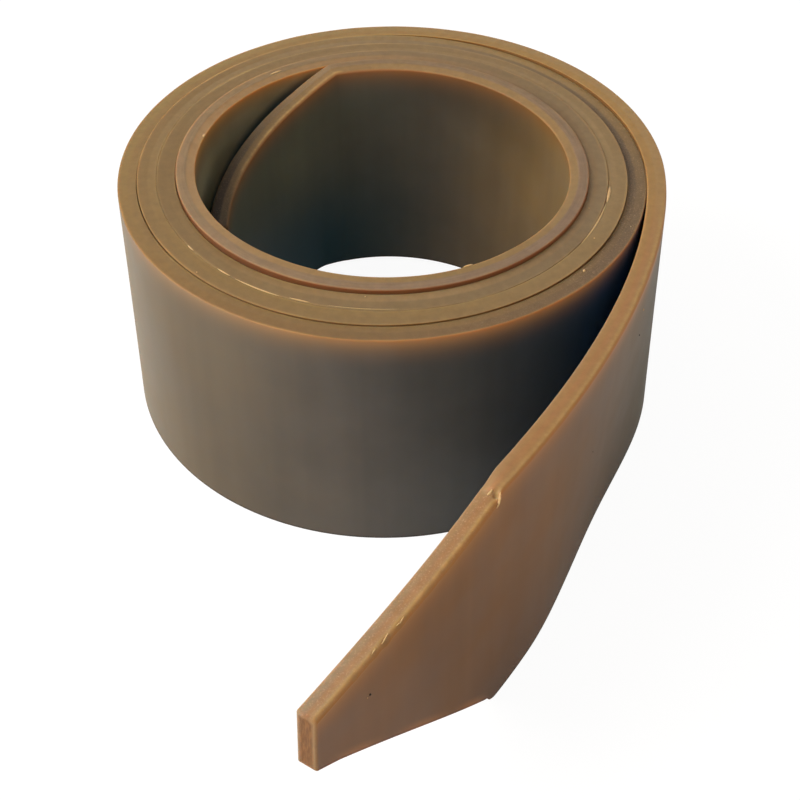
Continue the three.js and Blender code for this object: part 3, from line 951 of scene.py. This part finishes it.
def cast_polyurethane(colours):
    """Cast polyurethane: translucent amber-brown, semi-gloss where moulded, matt where sawn.

    The faces are dark because no light comes out of the roll, and they glow orange just below a
    rim, where it does. The rims show the true tan. Ground places scatter light and look pink.
    """
    material, node = new_material("cast_polyurethane")
    read = {name: node("Attribute", attribute_name=name).outputs["Fac"]
            for name in STRIP_ATTRIBUTES}
    place = node("TexCoord").outputs["Object"]
    strip = node("UVMap", uv_map="blade")

    # Faces: a tone by turn, clouded over 30 mm or so, in warmer and greyer patches of 12 mm, with
    # upright bands 4 mm apart from casting.
    tone, glow = (node("Mix", data_type="RGBA", _0=read["inner"],
                       _6=node("ValToRGB", stops=tone_stops(outer), Fac=read["tone"]),
                       _7=node("ValToRGB", stops=tone_stops(inner), Fac=read["tone"]))
                  for outer, inner in ((OUTER_TONES, INNER_TONES), (OUTER_GLOWS, INNER_GLOWS)))
    clouds = node("TexNoise", Scale=1 / 0.03, Detail=4.0, Roughness=0.55, Vector=place)
    upright = node("Mapping", Scale=(1 / 0.004, 1 / 0.12, 1), Vector=strip)
    bands = node("TexNoise", Scale=1.0, Detail=2.0, Vector=upright)
    marks = node("Math", operation="MULTIPLY",
                 _0=node("MapRange", span=(0.3, 0.7, 0.82, 1.16), Value=clouds),
                 _1=node("MapRange", span=(0.3, 0.7, 0.95, 1.05), Value=bands))
    # The face's level is scaled by painted light and shade on the free end, in the bore and beside
    # the slit.
    level = node("Math", operation="MULTIPLY", _0=marks, _1=read["lift"])
    patches = node("TexNoise", Scale=1 / 0.012, Detail=2.0, Vector=place)
    warmth = node("MapRange", span=(0.35, 0.65, 0.95, 1.05), Value=patches)
    clouded = node("HueSaturation", Color=tone, Value=level, Saturation=warmth)
    # Painted blue-black shade: low in the bore, and along the slit beside the inner end.
    slit = node("MapRange", span=(0.5, 2.4, 0.8, 0.0), Value=read["slit_mm"])
    painted_bore_shade = node("Math", operation="MAXIMUM", _0=read["deep"], _1=slit)
    with_bore_shade = node("Mix", data_type="RGBA", _0=painted_bore_shade, _6=clouded, _7=colours.deep)
    # Light comes through in the 10 mm below a rim, and in 2 mm above a ground lower edge.
    below = node("MapRange", span=(0.0, 10.0, 1.0, 0.0), Value=read["below_mm"])
    glow_level = node("Math", operation="POWER", _0=below, _1=4.5)
    above_foot = node("MapRange", span=(0.0, 2.2, 0.6, 0.0), Value=read["foot_mm"])
    foot_glow = node("Math", operation="MULTIPLY", _0=above_foot, _1=read["foot_glow"])
    lit = node("Math", operation="MAXIMUM", _0=glow_level, _1=foot_glow)
    glowing = node("Mix", data_type="RGBA", _0=lit, _6=with_bore_shade, _7=glow)
    # A painted contact shadow darkens the faces in the lowest 0.6 mm above the lower edge.
    painted_foot_shadow = node("MapRange", span=(0.15, 0.6, 0.75, 0.0), Value=read["foot_mm"])
    face = node("Mix", data_type="RGBA", _0=painted_foot_shadow, _6=glowing, _7=colours.foot)

    # Rims: an outer and an inner tone by turn, mottled by 1.6 mm, with streaks 9 mm long and
    # 0.45 mm apart where sawn, and dust in 0.28 mm grains where ground.
    rim_out = node("ValToRGB", stops=tone_stops(RIM_TONES), Fac=read["tone"])
    rim_in = node("ValToRGB", stops=tone_stops(RIM_INNER_TONES), Fac=read["tone"])
    halves = node("MapRange", interpolation_type="SMOOTHSTEP", span=(0.48, 0.62),
                  Value=read["inner"])
    halved = node("Mix", data_type="RGBA", _0=halves, _6=rim_out, _7=rim_in)
    rim_tone = node("Mix", data_type="RGBA", _0=read["heart"], _6=halved, _7=colours.heart)
    lengthwise = node("Mapping", Scale=(1 / 0.009, 1 / 0.00045, 1), Vector=strip)
    streaks = node("TexNoise", Scale=1.0, Detail=3.0, Roughness=0.6, Vector=lengthwise)
    mottle = node("TexNoise", Scale=1 / 0.0016, Detail=5.0, Roughness=0.7, Vector=place)
    grit = node("TexNoise", Scale=1 / 0.00028, Detail=3.0, Roughness=0.7, Vector=place)
    streak_level = node("MapRange", span=(0.3, 0.7, 0.9, 1.1), Value=streaks)
    mottle_level = node("MapRange", span=(0.3, 0.7, 0.9, 1.1), Value=mottle)
    mottled = node("HueSaturation", Color=rim_tone, Value=mottle_level)
    streaked = node("HueSaturation", Color=mottled, Value=streak_level, Fac=read["sawn"])
    dots = node("MapRange", span=(0.54, 0.72, 0.0, 0.5), Value=grit)
    dotted = node("Math", operation="MULTIPLY", _0=dots, _1=read["ground"])
    dusty = node("Mix", data_type="RGBA", _0=dotted, _6=streaked, _7=colours.dust)

    # The square end: darker in its middle, with upright saw dashes, eleven across its thickness
    # and 1.7 mm long.
    across = node("Math", operation="MULTIPLY", _0=read["inner"], _1=11.0)
    upwards = node("Math", operation="MULTIPLY", _0=read["foot_mm"], _1=0.6)
    dashes = node("TexNoise", Scale=1.0, Detail=2.0,
                  Vector=node("CombineXYZ", X=across, Y=upwards))
    dash_level = node("MapRange", span=(0.4, 0.65, 0.88, 1.3), Value=dashes)
    end_tone = node("HueSaturation", Color=colours.cut_end, Value=dash_level)
    end_middle = node("MapRange", interpolation_type="SMOOTHSTEP", span=(0.0, 1.0),
                      Value=read["edge_mm"])
    end_share = node("Math", operation="MULTIPLY", _0=end_middle, _1=read["cap"])
    sawn_end = node("Mix", data_type="RGBA", _0=end_share, _6=dusty, _7=end_tone)

    # Pale lines of painted light coming through an edge: in patches along a slit edge, and mottled
    # along a rounded one.
    line_depth = node("MapRange", span=(0.05, 0.5, 1.0, 0.0), Value=read["edge_mm"])
    patch_level = node("MapRange", span=(0.42, 0.62, 0.05, 0.3), Value=patches)
    patchy = node("Math", operation="MULTIPLY", _0=line_depth, _1=patch_level)
    line_level = node("Math", operation="SUBTRACT", use_clamp=True, _0=patchy, _1=read["cap"])
    crest_level = node("MapRange", span=(0.35, 0.62, 0.25, 0.75), Value=mottle)
    crest = node("Math", operation="MULTIPLY", _0=crest_level, _1=read["crest"])
    lines = node("Math", operation="MAXIMUM", _0=line_level, _1=crest)
    rim = node("Mix", data_type="RGBA", _0=lines, _6=sawn_end, _7=colours.line)

    both = node("Mix", data_type="RGBA", _0=read["rim"], _6=face, _7=rim)
    base = node("Mix", data_type="RGBA", _0=read["dull"], _6=both, _7=colours.dull)

    # Gloss: waxy faces with dull clouds, a duller rim and matt sawn places.
    face_rough = node("MapRange", span=(0.35, 0.65, 0.4, 0.52), Value=clouds)
    worn = node("Math", operation="MAXIMUM", _0=read["sawn"], _1=read["ground"])
    rim_rough = node("MapRange", span=(0.0, 1.0, 0.48, 0.7), Value=worn)
    rough = node("Mix", _0=read["rim"], _2=face_rough, _3=rim_rough)

    # Relief: grit and saw streaks 0.04 mm deep on the cuts, a faint skin print on the faces.
    relief = node("Mix", _0=0.5, _2=streaks, _3=mottle)
    sawn_rim = node("Math", operation="MULTIPLY", _0=read["rim"], _1=worn)
    relief_level = node("MapRange", span=(0.0, 1.0, 0.06, 0.35), Value=sawn_rim)
    bump = node("Bump", Distance=0.00012, Height=relief, Strength=relief_level)
    shader = node("BsdfPrincipled", IOR=1.5, Specular_IOR_Level=0.19, Subsurface_Weight=0.7,
                  Subsurface_Radius=(1.0, 0.5, 0.24), Subsurface_Scale=0.002,
                  Base_Color=base, Roughness=rough, Normal=bump)
    node("OutputMaterial", Surface=shader)
    return material


def thin_polyurethane(name, tone):
    """Polyurethane so thin or so small that it shows one tone, with a waxy skin."""
    material, node = new_material(name)
    place = node("TexCoord").outputs["Object"]
    mottle = node("TexNoise", Scale=1 / 0.0006, Detail=2.0, Vector=place)
    level = node("MapRange", span=(0.0, 1.0, 0.75, 1.2), Value=mottle)
    shade = node("HueSaturation", Color=tone, Value=level)
    shader = node("BsdfPrincipled", IOR=1.5, Roughness=0.5, Specular_IOR_Level=0.2,
                  Subsurface_Weight=0.4, Subsurface_Radius=(1.0, 0.5, 0.2),
                  Subsurface_Scale=0.0006, Base_Color=shade)
    node("OutputMaterial", Surface=shader)
    return material


# ---- pieces ----


def linked_object(name, data):
    """An object of a mesh, a lamp or a camera, in the scene."""
    thing = bpy.data.objects.new(name, data)
    bpy.context.scene.collection.objects.link(thing)
    return thing


def mesh_object(mesh, name, material):
    """Makes an object of a bmesh, with one material."""
    data = bpy.data.meshes.new(name)
    mesh.to_mesh(data)
    mesh.free()
    data.materials.append(material)
    return linked_object(name, data)


def finished_piece(mesh, name, material):
    """Makes a piece of a bmesh, with smooth faces, that rides on the part."""
    for face in mesh.faces:
        face.smooth = True
    piece = mesh_object(mesh, name, material)
    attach(piece, "root")
    return piece


class BLADE_OT_strip(bpy.types.Operator):
    """Rolls the polyurethane strip, which stands for the frame's blade."""

    bl_idname = "blade.strip"
    bl_label = "Rolled strip"

    def execute(self, context):
        scene = context.scene
        mesh = blade_mesh(scene.blade_sizes)
        piece = finished_piece(mesh, "rolled_blade", cast_polyurethane(scene.blade_colours))
        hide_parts(BLADE_NODE)
        return {"FINISHED"}


class BLADE_OT_trimming(bpy.types.Operator):
    """Lays the flash of the slitting knife and the grains that stick to the blade."""

    bl_idname = "blade.trimming"
    bl_label = "Flash and grains"

    def execute(self, context):
        sizes, colours = context.scene.blade_sizes, context.scene.blade_colours
        flash = thin_polyurethane("polyurethane_flash", colours.flash)
        grit = thin_polyurethane("polyurethane_grit", colours.grit)
        finished_piece(flash_mesh(sizes), "trimming_flash", flash)
        finished_piece(grain_mesh(sizes, PALE_GRAINS), "pale_grains", flash)
        finished_piece(grain_mesh(sizes, DARK_GRAINS), "dark_grains", grit)
        return {"FINISHED"}


# ---- studio ----


def area_light(name, place, target, size, power, tint):
    """A rectangular soft lamp at a place, turned towards a target, both in metres."""
    lamp = bpy.data.lights.new(name, "AREA")
    lamp.shape = "RECTANGLE"
    lamp.size, lamp.size_y = size
    lamp.energy = power
    lamp.color = tint
    light = linked_object(name, lamp)
    light.location = place
    aim = Vector(target) - Vector(place)
    light.rotation_euler = aim.to_track_quat("-Z", "Y").to_euler()


def sees_white(node, seen=1.0, mirrored=1.0):
    """How white the surroundings show: to the camera and through glass, and in a gloss."""
    rays = node("LightPath").outputs
    straight = node("Math", operation="MAXIMUM", _0=rays["Is Camera Ray"],
                    _1=rays["Is Transmission Ray"])
    direct = node("Math", operation="MULTIPLY", _0=straight, _1=seen)
    glossy = node("Math", operation="MULTIPLY", _0=rays["Is Glossy Ray"], _1=mirrored)
    return node("Math", operation="MAXIMUM", _0=direct, _1=glossy)


def studio_world(strength):
    """A white room: plain soft light on the object, and pure white where it is seen."""
    world = bpy.data.worlds.new("white_room")
    world.use_nodes = True
    world.node_tree.nodes.clear()
    node = partial(add_node, world.node_tree)
    soft = node("Background", Color=linear("#fff8f0"), Strength=strength)
    white = node("Background", Color=(1, 1, 1, 1), Strength=1.0)
    node("OutputWorld", Surface=node("MixShader", _0=sees_white(node), _1=soft, _2=white))
    bpy.context.scene.world = world


def white_floor_material():
    """Matt white paper, seen as all but white, that keeps a faint soft shadow of the object.

    In the blade's gloss it shows more of its real light and shade.
    """
    material, node = new_material("white_paper")
    paper = node("BsdfDiffuse", Color=linear("#f0f0f0"))
    light = node("Emission", Color=(1, 1, 1, 1), Strength=1.06)
    mix = node("MixShader", _0=sees_white(node, 0.88, 0.2), _1=paper, _2=light)
    node("OutputMaterial", Surface=mix)
    return material


class BLADE_OT_studio(bpy.types.Operator):
    """Sets the white floor, the lamps, the world and the camera."""

    bl_idname = "blade.studio"
    bl_label = "Studio"

    def execute(self, context):
        studio_world(strength=0.6)
        sheet = bmesh.new()
        bmesh.ops.create_grid(sheet, x_segments=8, y_segments=8, size=3.0)
        stage = mesh_object(sheet, "floor", white_floor_material())
        area_light("key", place=(-0.42, -0.06, 0.34), target=(0, 0.01, 0.02), size=(0.4, 0.4),
                   power=3.6, tint=(1, 0.98, 0.95))
        photo_camera(context.scene)
        return {"FINISHED"}


def photo_camera(scene):
    """Stands the camera where the photograph was taken from, with its lens and its tilt."""
    # Millimetres back from the roll's axis and up from the floor, then radians.
    back, height = 236.07, 212.23
    pitch, yaw, roll = math.radians(43.48), 0.0089, -0.0077
    axis = roll_axis(scene.blade_sizes)
    level_ahead = math.cos(pitch)
    forward = Vector((math.sin(yaw) * level_ahead, math.cos(yaw) * level_ahead, -math.sin(pitch)))
    level = Vector((math.cos(yaw), -math.sin(yaw), 0))
    upright = level.cross(forward)
    right = level * math.cos(roll) + upright * math.sin(roll)
    up = upright * math.cos(roll) - level * math.sin(roll)
    data = bpy.data.cameras.new("photo_camera")
    data.lens, data.sensor_width = 71.37, 36.0
    data.clip_start, data.clip_end = 0.01, 20.0
    camera = linked_object("photo_camera", data)
    turn = Matrix((right, up, -forward)).transposed().to_4x4()
    place = Vector((axis.x, axis.y - back, height)) * MM
    camera.matrix_world = Matrix.Translation(place) @ turn
    scene.camera = camera


# ---- panel and registration ----


class BLADE_PT_panel(bpy.types.Panel):
    """Lists the makers of the blade and of its studio."""

    bl_label = "Rolled blade"
    bl_space_type = "VIEW_3D"
    bl_region_type = "UI"
    bl_category = "Blade"

    def draw(self, context):
        for operator in MAKERS:
            self.layout.operator(operator.bl_idname)


MAKERS = (BLADE_OT_strip, BLADE_OT_trimming, BLADE_OT_studio)
CLASSES = (BladeSizes, BladeColours, *MAKERS, BLADE_PT_panel)


def register():
    """Makes the sizes, the colours, the operators and the panel known."""
    for item in CLASSES:
        bpy.utils.register_class(item)
    bpy.types.Scene.blade_sizes = bpy.props.PointerProperty(type=BladeSizes)
    bpy.types.Scene.blade_colours = bpy.props.PointerProperty(type=BladeColours)


def unregister():
    """Takes all of them back."""
    del bpy.types.Scene.blade_colours
    del bpy.types.Scene.blade_sizes
    for item in reversed(CLASSES):
        bpy.utils.unregister_class(item)


def main():
    """Makes the blade and its studio."""
    register()
    scene = bpy.context.scene
    scene.view_settings.view_transform = "Standard"
    bpy.ops.blade.strip()
    bpy.ops.blade.trimming()
    bpy.ops.blade.studio()


if __name__ == "__main__":
    main()
